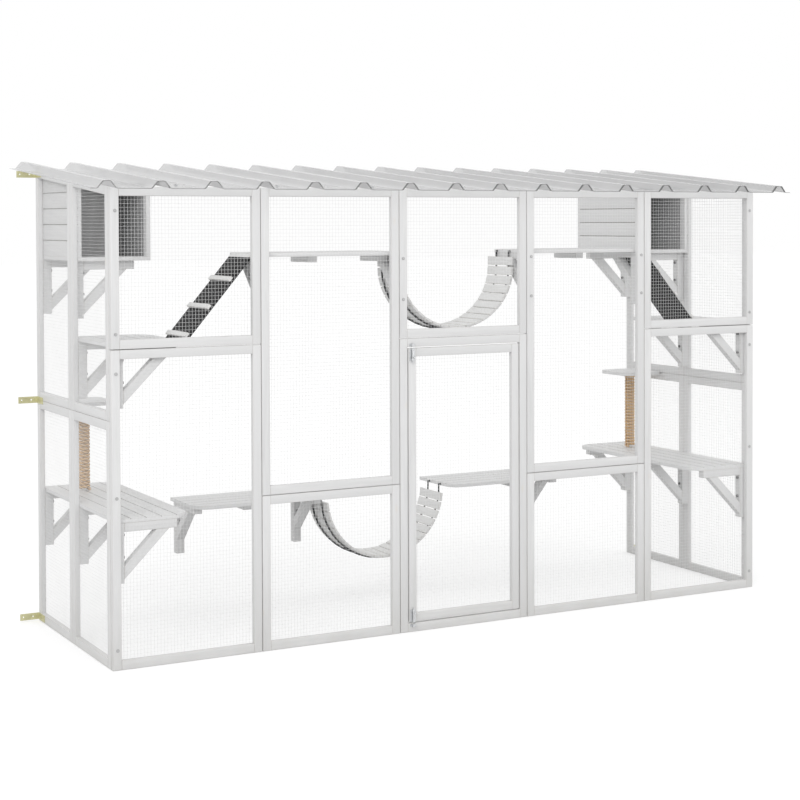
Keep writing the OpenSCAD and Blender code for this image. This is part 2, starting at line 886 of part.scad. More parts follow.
// Heads on the corner stiles and in front of all high brackets but the first,
// which is screwed from inside, and a hexagon head on the leg of every bracket.
module frame_bolts() {
    color("dimgray") {
        both_ends()
            for (z = corner_bolt_z)
                translate([-width / 2 + panel_t, 0, z]) bolt_head();
        for (k = [1 : len(front_bracket_x) - 1])
            for (drop = [shelf_arm_h / 2, leg_h - 1.4 * stile_w])
                translate([front_bracket_x[k], 0, high_z - board_t - drop]) bolt_head();
        both_ends()
            for (p = left_bracket_places, drop = bracket_bolt_drops)
                translate([inner_x + stile_w, p[0] + stile_w / 2, p[1] - board_t - drop])
                    rotate([0, 90, 0]) cylinder(h = 6, r = 6, $fn = 6);
        for (x = wall_bracket_x, drop = [shelf_arm_h + 13, shelf_arm_h + 60])
            translate([x + stile_w / 2, depth - stile_w, low_z - board_t - drop])
                rotate([90, 0, 0]) cylinder(h = 6, r = 6, $fn = 6);
    }
}

bracket_bolt_drops = [arm_h + 13, arm_h + 96];

// ---- The whole -----------------------------------------------------------

translate([0, front_y, 0]) {
    front_frame(0, false);  // front_frame_1_low
    front_frame(0, true);  // front_frame_1_high
    front_frame(1, false);  // front_frame_2_low
    front_frame(1, true);  // front_frame_2_high
    front_frame(2, false);  // door_surround
    front_frame(2, true);  // front_frame_3_high
    front_frame(3, false);  // front_frame_4_low
    front_frame(3, true);  // front_frame_4_high
    front_frame(4, false);  // front_frame_5_low
    front_frame(4, true);  // front_frame_5_high
    side_frame(0, false);  // left_frame_front_low
    side_frame(0, true);  // left_frame_front_high
    side_frame(1, false);  // left_frame_rear_low
    side_frame(1, true);  // left_frame_rear_high
    mirror([1, 0, 0]) side_frame(0, false);  // right_frame_front_low
    mirror([1, 0, 0]) side_frame(0, true);  // right_frame_front_high
    mirror([1, 0, 0]) side_frame(1, false);  // right_frame_rear_low
    mirror([1, 0, 0]) side_frame(1, true);  // right_frame_rear_high
    front_net();
    door_net();
    left_net();
    mirror([1, 0, 0]) left_net();  // right_net
    door_leaf();
    hinge_frame_plates();
    hinge_door_plates();
    hinge_pins();
    bolt_bodies();
    upper_bolt_rod();
    lower_bolt_rod();
    bolt_keepers();
    roof_sheet();
    roof_screws();
    left_cat_box();
    left_box_floor();
    mirror([1, 0, 0]) left_cat_box();  // right_cat_box
    mirror([1, 0, 0]) left_box_floor();  // right_box_floor
    left_platform();
    mirror([1, 0, 0]) left_platform();  // right_platform
    left_mid_shelf();
    mirror([1, 0, 0]) left_mid_shelf();  // right_mid_shelf
    left_high_shelf();
    right_high_shelf();
    left_low_shelf();
    mirror([1, 0, 0]) left_low_shelf();  // right_low_shelf
    left_perch();
    mirror([1, 0, 0]) left_perch();  // right_perch
    left_brackets();
    mirror([1, 0, 0]) left_brackets();  // right_brackets
    front_brackets();
    wall_brackets();
    left_ramp();
    mirror([1, 0, 0]) left_ramp();  // right_ramp
    ramp_battens();
    high_bridge_slats();
    low_bridge_slats();
    bridge_ropes();
    post_cores();
    post_windings();
    wall_angles();
    frame_bolts();
}
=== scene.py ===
# %% [markdown]
# # A cat enclosure that leans on a house wall
#
# The object is a long, shallow cage of white painted battens with welded mesh,
# a clear ribbed roof, a door, and cat furniture inside. Its construction comes
# from a CAD model, which is loaded first and never moved. This script gives
# every piece its finish, and makes the parts that CAD leaves plain: rounded and
# grained timber, fine mesh, twisted sisal and black rope.

# %% Load the frame
import json
import math

import bmesh
import bpy
from mathutils import Matrix, Vector


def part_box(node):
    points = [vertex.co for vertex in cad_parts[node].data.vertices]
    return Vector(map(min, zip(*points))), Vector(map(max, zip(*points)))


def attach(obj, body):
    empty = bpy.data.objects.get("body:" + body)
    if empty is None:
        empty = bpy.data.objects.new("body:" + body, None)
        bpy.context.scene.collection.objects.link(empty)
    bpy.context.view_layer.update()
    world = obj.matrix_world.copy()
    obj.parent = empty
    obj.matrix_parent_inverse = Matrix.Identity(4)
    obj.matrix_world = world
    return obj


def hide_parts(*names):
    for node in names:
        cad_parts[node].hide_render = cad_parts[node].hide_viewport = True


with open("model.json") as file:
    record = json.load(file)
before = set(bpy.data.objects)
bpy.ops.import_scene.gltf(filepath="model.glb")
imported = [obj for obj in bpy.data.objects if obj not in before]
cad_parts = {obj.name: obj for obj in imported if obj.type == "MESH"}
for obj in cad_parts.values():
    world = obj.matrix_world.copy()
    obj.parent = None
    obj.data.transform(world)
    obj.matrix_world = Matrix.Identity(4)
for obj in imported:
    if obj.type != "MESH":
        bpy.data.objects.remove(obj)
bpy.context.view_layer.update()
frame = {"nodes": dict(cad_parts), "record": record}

nodes = frame["nodes"]
body_of_node = {
    node: body
    for body, members in frame["record"]["behaviour"]["bodies"].items()
    for node in members
}

# %% [markdown]
# ## Camera
#
# The photograph was taken from the left of the object, with a moderate
# telephoto lens and the lens axis well above the middle of the picture. A
# camera can be placed by eye, but the edges of the panels form a regular grid,
# so its place was worked out from them. The shift keeps upright edges upright
# while the horizon sits in the upper half of the picture.

# %% Camera
CAMERA_AT = Vector((-3.5362, -6.4580, 1.6513))
CAMERA_YAW = math.radians(28.4591)
CAMERA_PITCH = math.radians(-1.3729)
CAMERA_ROLL = math.radians(-0.1850)
LENS_MM = 77.454
SENSOR_MM = 36.0
CAMERA_SHIFT = (-0.01097, -0.17199)


def camera_axes(yaw, pitch, roll):
    """Right, up and forward of a camera that looks along +Y when yaw is 0."""
    forward = Vector((
        math.sin(yaw) * math.cos(pitch), math.cos(yaw) * math.cos(pitch), math.sin(pitch)
    ))
    level = Vector((math.cos(yaw), -math.sin(yaw), 0))
    upright = level.cross(forward)
    right = math.cos(roll) * level + math.sin(roll) * upright
    up = math.cos(roll) * upright - math.sin(roll) * level
    return right, up, forward


def make_camera():
    right, up, forward = camera_axes(CAMERA_YAW, CAMERA_PITCH, CAMERA_ROLL)
    data = bpy.data.cameras.new("photo_camera")
    data.lens = LENS_MM
    data.sensor_width = SENSOR_MM
    data.shift_x, data.shift_y = CAMERA_SHIFT
    camera = bpy.data.objects.new("photo_camera", data)
    turn = Matrix((right, up, -forward)).transposed().to_4x4()
    camera.matrix_world = Matrix.Translation(CAMERA_AT) @ turn
    bpy.context.scene.collection.objects.link(camera)
    bpy.context.scene.camera = camera
    return camera


print("camera at", tuple(make_camera().location))

# %% [markdown]
# ## Helpers for materials
#
# Every finish is a node tree. Trees can be drawn by hand in the shader editor,
# but in a script a few short helpers keep them readable. The first ones add a
# node, start a group and place it in a material.

# %% Nodes, groups and materials
def set_socket(tree, socket, value):
    """Links a socket to another one, or gives it a plain value."""
    if isinstance(value, bpy.types.NodeSocket):
        tree.links.new(value, socket)
    else:
        socket.default_value = value


def add_node(tree, kind, inputs=None, **settings):
    """A new node with its settings, and values or links for its inputs."""
    node = tree.nodes.new(kind)
    for name, value in settings.items():
        setattr(node, name, value)
    for name, value in (inputs or {}).items():
        set_socket(tree, node.inputs[name], value)
    return node


def new_group(name, inputs, outputs):
    """An empty shader node group with named sockets, and its two end nodes."""
    group = bpy.data.node_groups.new(name, "ShaderNodeTree")
    for label, kind, value in inputs:
        socket = group.interface.new_socket(label, in_out="INPUT", socket_type=kind)
        socket.default_value = value
    for label, kind in outputs:
        group.interface.new_socket(label, in_out="OUTPUT", socket_type=kind)
    start = group.nodes.new("NodeGroupInput")
    end = group.nodes.new("NodeGroupOutput")
    return group, start.outputs, end.inputs


def place_group(tree, group, **inputs):
    """The group as a node of a tree."""
    node = tree.nodes.new("ShaderNodeGroup")
    node.node_tree = group
    for name, value in inputs.items():
        set_socket(tree, node.inputs[name], value)
    return node


def new_material(name, **plain):
    """A material with one Principled BSDF, with its plain values set on it."""
    material = bpy.data.materials.new(name)
    material.use_nodes = True
    tree = material.node_tree
    shader = tree.nodes["Principled BSDF"]
    for socket, value in plain.items():
        shader.inputs[socket].default_value = value
    return material, tree, shader


print("node helpers ready")

# %% [markdown]
# ## Sums, mixes and relief
#
# Most finishes are made of the same few moves: look up the place on the surface,
# lay a noise over it, bring its values into another range, mix two colours by
# it, and let it tilt the surface a little. Each move is one short function.

# %% Moves that every finish uses
def math_node(tree, operation, a, b):
    """The result of a sum with two values or sockets."""
    node = tree.nodes.new("ShaderNodeMath")
    node.operation = operation
    for socket, value in zip(node.inputs, (a, b)):
        set_socket(tree, socket, value)
    return node.outputs[0]


def mix_colour(tree, factor, a, b):
    """A colour between a, where the factor is 0, and b, where it is 1."""
    node = tree.nodes.new("ShaderNodeMix")
    node.data_type = "RGBA"
    for label, value in (("Factor", factor), ("A", a), ("B", b)):
        socket = next(s for s in node.inputs if s.name == label and s.enabled)
        set_socket(tree, socket, value)
    return next(s for s in node.outputs if s.enabled)


def surface_place(tree):
    """The place of each point of the surface, in metres."""
    return add_node(tree, "ShaderNodeNewGeometry").outputs["Position"]


def mesh_mask(tree, name):
    """A value that was written into the mesh."""
    return add_node(tree, "ShaderNodeAttribute", attribute_name=name).outputs["Fac"]


def noise_mask(tree, where, scale, detail):
    """Noise from 0 to 1 over the surface."""
    return add_node(tree, "ShaderNodeTexNoise", {
        "Vector": where, "Scale": scale, "Detail": detail,
    }).outputs["Fac"]


def remap(tree, value, given, wanted):
    """A value brought from one range into another."""
    return add_node(tree, "ShaderNodeMapRange", {
        "Value": value, "From Min": given[0], "From Max": given[1],
        "To Min": wanted[0], "To Max": wanted[1],
    }).outputs["Result"]


def add_relief(tree, shader, height, strength, distance):
    """Lets a pattern of heights tilt the surface."""
    bump = add_node(tree, "ShaderNodeBump", {
        "Height": height, "Strength": strength, "Distance": distance,
    })
    tree.links.new(bump.outputs["Normal"], shader.inputs["Normal"])


WHOLE = (0.0, 1.0)
print("finish helpers ready")

# %% [markdown]
# ## Wood grain under paint
#
# Grain runs along a batten, whichever way the batten lies. A texture can't know
# that from the place alone, so each timber carries an attribute called `grain`:
# its own length, width and thickness in metres, with a different start for each
# piece. Noise that is stretched along the first of them looks like grain. The
# group gives the fine lines, the broad figure and a mask of knots.

# %% Grain group
LINE_STRETCH = (0.07, 1.0, 1.0)
KNOT_STRETCH = (0.45, 1.0, 1.0)
LINE_SCALE = 520.0
FIGURE_SCALE = 70.0
KNOT_SCALE = 9.0


def stretched_place(tree, where, factors):
    """A place with each of its three parts multiplied."""
    node = add_node(tree, "ShaderNodeVectorMath", operation="MULTIPLY")
    tree.links.new(where, node.inputs[0])
    node.inputs[1].default_value = factors
    return node.outputs[0]


def make_grain_group():
    group, given, out = new_group(
        "wood_grain",
        [("Fineness", "NodeSocketFloat", 1.0)],
        [("Lines", "NodeSocketFloat"), ("Figure", "NodeSocketFloat"), ("Knots", "NodeSocketFloat")],
    )
    where = add_node(group, "ShaderNodeAttribute", attribute_name="grain").outputs["Vector"]
    place = stretched_place(group, where, LINE_STRETCH)
    lines = add_node(group, "ShaderNodeTexNoise", {
        "Vector": place, "Scale": math_node(group, "MULTIPLY", given["Fineness"], LINE_SCALE),
        "Detail": 3.0, "Roughness": 0.6,
    })
    figure = add_node(group, "ShaderNodeTexNoise", {
        "Vector": place, "Scale": math_node(group, "MULTIPLY", given["Fineness"], FIGURE_SCALE),
        "Detail": 2.0, "Distortion": 0.6,
    })
    cells = add_node(group, "ShaderNodeTexVoronoi", {
        "Vector": stretched_place(group, where, KNOT_STRETCH), "Scale": KNOT_SCALE,
    })
    knots = remap(group, cells.outputs["Distance"], (0.02, 0.09), (1.0, 0.0))
    group.links.new(lines.outputs["Fac"], out["Lines"])
    group.links.new(figure.outputs["Fac"], out["Figure"])
    group.links.new(knots, out["Knots"])
    return group


GRAIN = make_grain_group()
print("group", GRAIN.name)

# %% [markdown]
# ## Darker foot and wear on the edges
#
# Outdoor paint rubs thin on edges. Blender can find edges by comparing the true
# normal with a rounded one. Here a piece's edge is marked in the mesh instead, in
# an attribute called `edge`. The group mixes it with noise, so that wear is
# broken up, and makes the paint faintly darker towards the foot.

# %% Weathering group
DARKER_FOOT_HEIGHT = 0.35


def make_weather_group():
    group, given, out = new_group(
        "weathering",
        [("Wear", "NodeSocketFloat", 0.3), ("Splash", "NodeSocketFloat", 0.3)],
        [("Edge", "NodeSocketFloat"), ("DarkerFoot", "NodeSocketFloat")],
    )
    where = surface_place(group)
    breakup = noise_mask(group, where, 55.0, 4.0)
    worn = math_node(group, "MULTIPLY", mesh_mask(group, "edge"), breakup)
    group.links.new(math_node(group, "MULTIPLY", worn, given["Wear"]), out["Edge"])
    height = add_node(group, "ShaderNodeSeparateXYZ", {"Vector": where}).outputs["Z"]
    # the paint is made faintly darker towards the foot, broken up by noise
    low = remap(group, height, (0.0, DARKER_FOOT_HEIGHT), (1.0, 0.0))
    darker_foot = math_node(group, "MULTIPLY", low, noise_mask(group, where, 9.0, 5.0))
    group.links.new(math_node(group, "MULTIPLY", darker_foot, given["Splash"]), out["DarkerFoot"])
    return group


WEATHER = make_weather_group()
print("group", WEATHER.name)

# %% [markdown]
# ## White paint
#
# The frame, the boards and the brackets are all painted white, but not quite
# alike: the frame is a hair smoother, the boards have seen paws, and the bridge
# slats are rougher. One function makes all of them. The base stays a little
# under white, so that a lamp can still shade it. The lamps hardly shade the fine
# grooves between planks, so small faces in inner corners are marked in the mesh
# and given a painted shade: darker paint that stands for the missing shadow.

# %% White paint
KNOT_COLOUR = (0.72, 0.66, 0.56, 1)
WORN_COLOUR = (0.52, 0.46, 0.38, 1)
DARKER_FOOT_COLOUR = (0.50, 0.48, 0.43, 1)
# colour of the painted shade in grooves and small inner corners
GROOVE_SHADE_COLOUR = (0.22, 0.22, 0.21, 1)
DARKER_PIECE = 0.93


def painted_wood(name, colour, shade, wear, roughness, relief):
    material, tree, shader = new_material(name, IOR=1.46)
    grain = place_group(tree, GRAIN, Fineness=1.0)
    weather = place_group(tree, WEATHER, Wear=wear, Splash=0.35)
    tone = remap(tree, grain.outputs["Figure"], (0.3, 0.7), WHOLE)
    base = mix_colour(tree, tone, (*shade, 1), (*colour, 1))
    darker = (*(part * DARKER_PIECE for part in colour), 1)
    base = mix_colour(tree, mesh_mask(tree, "piece_tone"), base, darker)
    knots = math_node(tree, "MULTIPLY", grain.outputs["Knots"], 0.25)
    base = mix_colour(tree, knots, base, KNOT_COLOUR)
    base = mix_colour(tree, weather.outputs["Edge"], base, WORN_COLOUR)
    # faintly darker towards the foot
    base = mix_colour(tree, weather.outputs["DarkerFoot"], base, DARKER_FOOT_COLOUR)
    # painted shade: the marked groove faces are darkened for the shadow the lamps hardly give
    groove = math_node(tree, "MULTIPLY", mesh_mask(tree, "groove"), 0.85)
    base = mix_colour(tree, groove, base, GROOVE_SHADE_COLOUR)
    tree.links.new(base, shader.inputs["Base Color"])
    rough = remap(tree, grain.outputs["Lines"], WHOLE, (roughness - 0.07, roughness + 0.1))
    tree.links.new(rough, shader.inputs["Roughness"])
    add_relief(tree, shader, grain.outputs["Lines"], relief, 0.0006)
    return material


FRAME_PAINT = painted_wood("frame_paint", (0.78, 0.78, 0.78), (0.72, 0.72, 0.72), 0.3, 0.42, 0.35)
BOARD_PAINT = painted_wood("board_paint", (0.80, 0.80, 0.80), (0.73, 0.73, 0.73), 0.4, 0.48, 0.5)
BRACKET_PAINT = painted_wood("bracket_paint", (0.78, 0.78, 0.78), (0.72, 0.72, 0.72), 0.35, 0.5, 0.45)
SLAT_PAINT = painted_wood("slat_paint", (0.82, 0.82, 0.815), (0.75, 0.75, 0.74), 0.5, 0.55, 0.6)
print("four white paints")

# %% [markdown]
# ## Timber with soft edges and grain
#
# CAD gives each batten as a sharp block. A real one has its arrises eased with
# sandpaper, which is what catches the light. One function takes a CAD node
# apart into its pieces, dissolves the triangles into flat faces, bevels the
# edges, and writes down where each point lies along its piece. The new object
# stands exactly where the CAD node does and replaces it.

# %% Take a node apart into its pieces
WELD = 2e-6
FLAT_ANGLE = math.radians(0.5)


def loose_parts(mesh):
    """The vertices of each connected piece of a bmesh."""
    found, parts = set(), []
    for start in mesh.verts:
        if start in found:
            continue
        part, stack = [], [start]
        found.add(start)
        while stack:
            vert = stack.pop()
            part.append(vert)
            for edge in vert.link_edges:
                other = edge.other_vert(vert)
                if other not in found:
                    found.add(other)
                    stack.append(other)
        parts.append(part)
    return parts


def clean_copy(node):
    """A bmesh of a CAD node with its triangles joined into flat faces."""
    mesh = bmesh.new()
    mesh.from_mesh(nodes[node].data)
    bmesh.ops.remove_doubles(mesh, verts=mesh.verts, dist=WELD)
    bmesh.ops.dissolve_limit(mesh, angle_limit=FLAT_ANGLE, verts=mesh.verts, edges=mesh.edges)
    return mesh


def longest_way(part):
    """Unit direction of the longest edge of a piece, for its grain."""
    # a list and not a set, so that every run takes the same one of equally long edges
    edges = [edge for vert in part for edge in vert.link_edges]
    edge = max(edges, key=lambda e: e.calc_length())
    way = (edge.verts[1].co - edge.verts[0].co).normalized()
    strongest = max(range(3), key=lambda k: abs(way[k]))
    return way if way[strongest] > 0 else -way


print("tools for taking timber apart are ready")

# %% [markdown]
# ## What the mesh tells the paint
#
# Each timber carries its grain's three directions, a tone for every piece or
# plank, and a mark on the small faces of a groove for painted shade. Vertex
# colours painted by hand could hold the same. Written by rule they fit any size
# of part, and steps of the golden ratio give neighbours different tones without
# a random draw.

# %% Grain, tone and groove
GOLDEN = 0.61803399
GRAIN_SPREAD = 3.7
TONE_SPREAD = 0.8
GROOVE_BEND = -0.5
GROOVE_FACE = 0.004


def mark_shaded_grooves(mesh):
    """Marks the small faces that meet in an inner corner, where shade is painted."""
    groove = mesh.faces.layers.float.new("groove")
    for edge in mesh.edges:
        if len(edge.link_faces) == 2 and edge.calc_face_angle_signed() < GROOVE_BEND:
            for face in edge.link_faces:
                if face.calc_area() < GROOVE_FACE:
                    face[groove] = 1.0


def write_grain(mesh, planks):
    """Gives each piece its grain coordinates and tone. planks is a plank's width or None."""
    grain = mesh.verts.layers.float_vector.new("grain")
    tone = mesh.faces.layers.float.new("piece_tone")
    for number, part in enumerate(loose_parts(mesh)):
        along = longest_way(part)
        other = Vector((0, 0, 1)) if abs(along.z) < 0.9 else Vector((0, 1, 0))
        side = along.cross(other).normalized()
        across = along.cross(side)
        low = min(vert.co.dot(side) for vert in part)
        start = GRAIN_SPREAD * ((number * GOLDEN) % 1)
        for vert in part:
            vert[grain] = (
                vert.co.dot(along) + 7 * start, vert.co.dot(side) + start, vert.co.dot(across) + start
            )
        for face in {face for vert in part for face in vert.link_faces}:
            row = number
            if planks:
                row += 5 * int((face.calc_center_median().dot(side) - low) / planks)
            face[tone] = TONE_SPREAD * ((row * GOLDEN) % 1)


print("grain, tone and groove ready")

# %% [markdown]
# ## Eased edges
#
# A modifier could round the edges while the picture is made. Here they are
# beveled in the mesh itself, because the new faces can then be marked for the
# wear. The finished timber rides on the body of its CAD node and replaces it.

# %% Eased edges, and timber in the place of a node
SHARP_ANGLE = math.radians(28)
EASE = {
    "frame": 0.0014, "board": 0.0012, "box": 0.0010, "bracket": 0.0015,
    "slat": 0.0016, "post": 0.0008, "ramp": 0.0015,
}


def ease_edges(mesh, width):
    """Bevels every sharp edge and marks the bevels for the wear."""
    mark = mesh.faces.layers.float.new("edge")
    sharp = [
        edge for edge in mesh.edges
        if len(edge.link_faces) == 2 and edge.calc_face_angle(0) > SHARP_ANGLE
    ]
    made = bmesh.ops.bevel(
        mesh, geom=sharp, offset=width, offset_type="OFFSET", segments=2, profile=0.6,
        affect="EDGES", clamp_overlap=True, loop_slide=True,
    )
    for face in made["faces"]:
        face[mark] = 1.0


def to_object(mesh, name, material, smooth_angle=35):
    """Turns a bmesh into an object of the scene, smooth where its faces nearly meet flat."""
    data = bpy.data.meshes.new(name)
    mesh.to_mesh(data)
    mesh.free()
    data.materials.append(material)
    data.shade_smooth()
    data.set_sharp_from_angle(angle=math.radians(smooth_angle))
    made = bpy.data.objects.new(name, data)
    bpy.context.scene.collection.objects.link(made)
    return made


def dress_timber(node, material, ease, planks=None, shape=None):
    """The timber of one CAD node with eased edges and grain, in the node's place."""
    mesh = clean_copy(node)
    if shape:
        shape(mesh)
    write_grain(mesh, planks)
    mark_shaded_grooves(mesh)
    ease_edges(mesh, ease)
    made = to_object(mesh, node + "_timber", material)
    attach(made, body_of_node[node])
    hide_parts(node)
    return made


print("eased timber ready")

# %% [markdown]
# ## The frames
#
# Ten panels in front, four at each end, and the door leaf. Each is two upright
# stiles with two rails between them, so the saw cuts show at the corners. Two
# panels that stand side by side leave a fine dark line on the real thing. The
# CAD seam is thinner than that line, so each panel's outline is drawn in by a
# small tuck first, except where it stands on the ground. The end panels fit
# more closely than the front ones.

# %% Frames
FRONT_TUCK = 0.0012
END_TUCK = 0.0002
FRONT_WIDTH = 0.1  # a panel that reaches further than this along x stands in the front
PANEL_THICK = 0.06  # a panel isn't drawn in along its own thickness
ON_EDGE = 1e-4
ON_GROUND = 0.001


def draw_in_outline(mesh):
    """Moves the outline of a panel inward, so that a seam shows between two panels."""
    wide = max(vert.co.x for vert in mesh.verts) - min(vert.co.x for vert in mesh.verts)
    tuck = FRONT_TUCK if wide > FRONT_WIDTH else END_TUCK
    for axis in range(3):
        low = min(vert.co[axis] for vert in mesh.verts)
        high = max(vert.co[axis] for vert in mesh.verts)
        if high - low < PANEL_THICK:
            continue
        stands = axis == 2 and low < ON_GROUND
        for vert in mesh.verts:
            if vert.co[axis] - low < ON_EDGE and not stands:
                vert.co[axis] += tuck
            elif high - vert.co[axis] < ON_EDGE:
                vert.co[axis] -= tuck


FRAME_NODES = [node for node in nodes if "_frame_" in node and "hinge" not in node]
FRAME_NODES += ["door_surround", "door_leaf"]
for node in FRAME_NODES:
    dress_timber(node, FRAME_PAINT, EASE["frame"], shape=draw_in_outline)
print(len(FRAME_NODES), "frames")

# %% [markdown]
# ## Shelves, boxes, brackets and slats
#
# The boards are made of planks with grooves between them, so each plank takes
# its own tone. The cat boxes are boarded in the same way. The brackets are three
# battens each. The slats and the battens of the ramps are the roughest wood.

# %% Boards, boxes, brackets and slats
PLANK = 0.060
BOARD_NODES = [
    node for node in nodes
    if node.endswith(("_platform", "_mid_shelf", "_high_shelf", "_low_shelf", "_perch"))
]
BOX_NODES = [node for node in nodes if node.endswith(("_cat_box", "_box_floor"))]
for node in BOARD_NODES:
    dress_timber(node, BOARD_PAINT, EASE["board"], planks=PLANK)
for node in BOX_NODES:
    dress_timber(node, BOARD_PAINT, EASE["box"])
for node in ["left_brackets", "right_brackets", "front_brackets", "wall_brackets"]:
    dress_timber(node, BRACKET_PAINT, EASE["bracket"])
for node in ["high_bridge_slats", "low_bridge_slats", "ramp_battens"]:
    dress_timber(node, SLAT_PAINT, EASE["slat"])
dress_timber("post_cores", SLAT_PAINT, EASE["post"])
print(len(BOARD_NODES) + len(BOX_NODES), "boards and box parts")

# %% [markdown]
# ## Ramps
#
# Each ramp is a board that leans on the end of the high shelf, with a black
# gritty facing that gives claws a hold. The facing stops a little below the top,
# where the bare painted wood shows as a light strip. Two objects would do, but a
# second material on the same mesh keeps the board whole: a cut is made across it
# and the faces above the cut are painted.

# %% Black facing
def black_facing():
    material, tree, shader = new_material("ramp_facing", Roughness=0.9)
    where = surface_place(tree)
    grit = noise_mask(tree, where, 900.0, 2.0)
    cloud = noise_mask(tree, where, 14.0, 4.0)
    base = mix_colour(tree, cloud, (0.010, 0.010, 0.011, 1), (0.024, 0.024, 0.025, 1))
    base = mix_colour(tree, math_node(tree, "MULTIPLY", grit, 0.35), base, (0.05, 0.05, 0.05, 1))
    tree.links.new(base, shader.inputs["Base Color"])
    add_relief(tree, shader, grit, 0.8, 0.0015)
    return material


RAMP_FACING = black_facing()
print("facing", RAMP_FACING.name)

# %% Ramps
BARE_TOP = 0.0155


def cut_below_top(mesh):
    """Cuts a ramp across, a little below its top, so that the two finishes can meet there."""
    high = max(vert.co.z for vert in mesh.verts)
    whole = mesh.verts[:] + mesh.edges[:] + mesh.faces[:]
    bmesh.ops.bisect_plane(mesh, geom=whole, plane_co=(0, 0, high - BARE_TOP), plane_no=(0, 0, 1))


def make_ramp(node):
    ramp = dress_timber(node, RAMP_FACING, EASE["ramp"], shape=cut_below_top)
    ramp.data.materials.append(SLAT_PAINT)
    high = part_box(node)[1].z
    for polygon in ramp.data.polygons:
        if polygon.center.z > high - BARE_TOP:
            polygon.material_index = 1
    return ramp


for node in ["left_ramp", "right_ramp"]:
    ramp = make_ramp(node)
    bare = sum(polygon.material_index for polygon in ramp.data.polygons)
    print(ramp.name, bare, "of", len(ramp.data.polygons), "faces without facing")

# %% [markdown]
# ## Lining of the cat boxes
#
# The boxes look dark inside, through a grey lining on the floor, the walls and
# under the lid. Painting the inner faces of the box would do from far away. A
# lining has a thickness that shows at the open front, so each inner face gets a
# sheet of its own instead, a hair off the wood and as thick as felt.

# %% Felt
def grey_felt():
    material, tree, shader = new_material("grey_felt", Roughness=0.95)
    where = surface_place(tree)
    fibre = noise_mask(tree, where, 600.0, 3.0)
    cloud = noise_mask(tree, where, 12.0, 4.0)
    base = mix_colour(tree, cloud, (0.31, 0.31, 0.312, 1), (0.41, 0.41, 0.412, 1))
    base = mix_colour(tree, math_node(tree, "MULTIPLY", fibre, 0.5), base, (0.48, 0.48, 0.48, 1))
    tree.links.new(base, shader.inputs["Base Color"])
    add_relief(tree, shader, fibre, 0.6, 0.001)
    return material


GREY_FELT = grey_felt()
print("felt", GREY_FELT.name)

# %% [markdown]
# ## Felt cut to the box
#
# The lid slopes, so the felt on the walls and the back has to be cut along it.
# A boolean could trim plain sheets to the lid. Measuring how high the lid lies
# at the front and at the back of the CAD box is simpler, and gives each sheet
# clean corners. A small gap keeps two sheets from cutting into each other.

# %% Cut and place the felt
BOX_WALL = 0.018
LID_DEPTH = 0.0125  # the lid's 12 mm, and half a millimetre of air under it
FELT_T = 0.002
FELT_LIFT = 0.0003
FELT_TRIM = 0.0005
FELT_BACK = 0.030
FELT_GAP = FELT_LIFT + FELT_T + 0.0002


def felt_sheet(mesh, outline, inward):
    """A sheet of felt with a given outline on the wood, thick towards inward."""
    outline = [Vector(p) for p in outline]
    lower = [mesh.verts.new(p + FELT_LIFT * inward) for p in outline]
    upper = [mesh.verts.new(p + (FELT_LIFT + FELT_T) * inward) for p in outline]
    mesh.faces.new(lower)
    mesh.faces.new(upper[::-1])
    for k in range(len(outline)):
        n = (k + 1) % len(outline)
        mesh.faces.new((lower[k], upper[k], upper[n], lower[n]))


def under_lid(side, low, high):
    """The height just under the lid at the front of a box, and its rise per metre."""
    places = [vert.co for vert in nodes[side + "_cat_box"].data.vertices]
    front, back = [
        max(p.z for p in places if abs(p.y - y) < ON_EDGE) - LID_DEPTH for y in (low.y, high.y)
    ]
    return front, (back - front) / (high.y - low.y)


def line_cat_box(side):
    low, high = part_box(side + "_cat_box")
    x0, x1 = low.x + BOX_WALL, high.x - BOX_WALL
    y0, y1 = low.y + FELT_BACK, high.y - BOX_WALL - FELT_TRIM
    lid_z, rise = under_lid(side, low, high)
    z0, z_front, z_back = low.z, lid_z + rise * (y0 - low.y), lid_z + rise * (y1 - low.y)
    a, b, g = x0 + FELT_TRIM, x1 - FELT_TRIM, FELT_GAP
    mesh = bmesh.new()
    floor = ((a, y0, z0), (b, y0, z0), (b, y1, z0), (a, y1, z0))
    felt_sheet(mesh, floor, Vector((0, 0, 1)))
    for x, way in ((x0, 1), (x1, -1)):
        wall = ((x, y0, z0 + g), (x, y1, z0 + g), (x, y1, z_back - g), (x, y0, z_front - g))
        felt_sheet(mesh, wall, Vector((way, 0, 0)))
    back = (
        (x0 + g, y1, z0 + g), (x1 - g, y1, z0 + g), (x1 - g, y1, z_back - g), (x0 + g, y1, z_back - g)
    )
    felt_sheet(mesh, back, Vector((0, -1, 0)))
    lid = ((a, y0, z_front), (b, y0, z_front), (b, y1 - g, z_back), (a, y1 - g, z_back))
    felt_sheet(mesh, lid, Vector((0, rise, -1)).normalized())
    bmesh.ops.recalc_face_normals(mesh, faces=mesh.faces)
    felt = to_object(mesh, side + "_box_felt", GREY_FELT)
    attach(felt, "root")
    return felt


for side in ("left", "right"):
    felt = line_cat_box(side)
    print(felt.name, [round(v, 3) for v in felt.dimensions])

# %% [markdown]
# ## Welded mesh
#
# The mesh is fine galvanised wire, welded 13 mm apart, and 14 mm from level
# wire to level wire in the front: upright wires behind, level ones before them.
# A picture of a grid on a plane would be lighter to draw, but it has no
# thickness from the side. Straight wires with six sides cost little, so every
# wire is real. The wires end where the CAD nets do, and on the sloping panels
# they are cut along the slope.

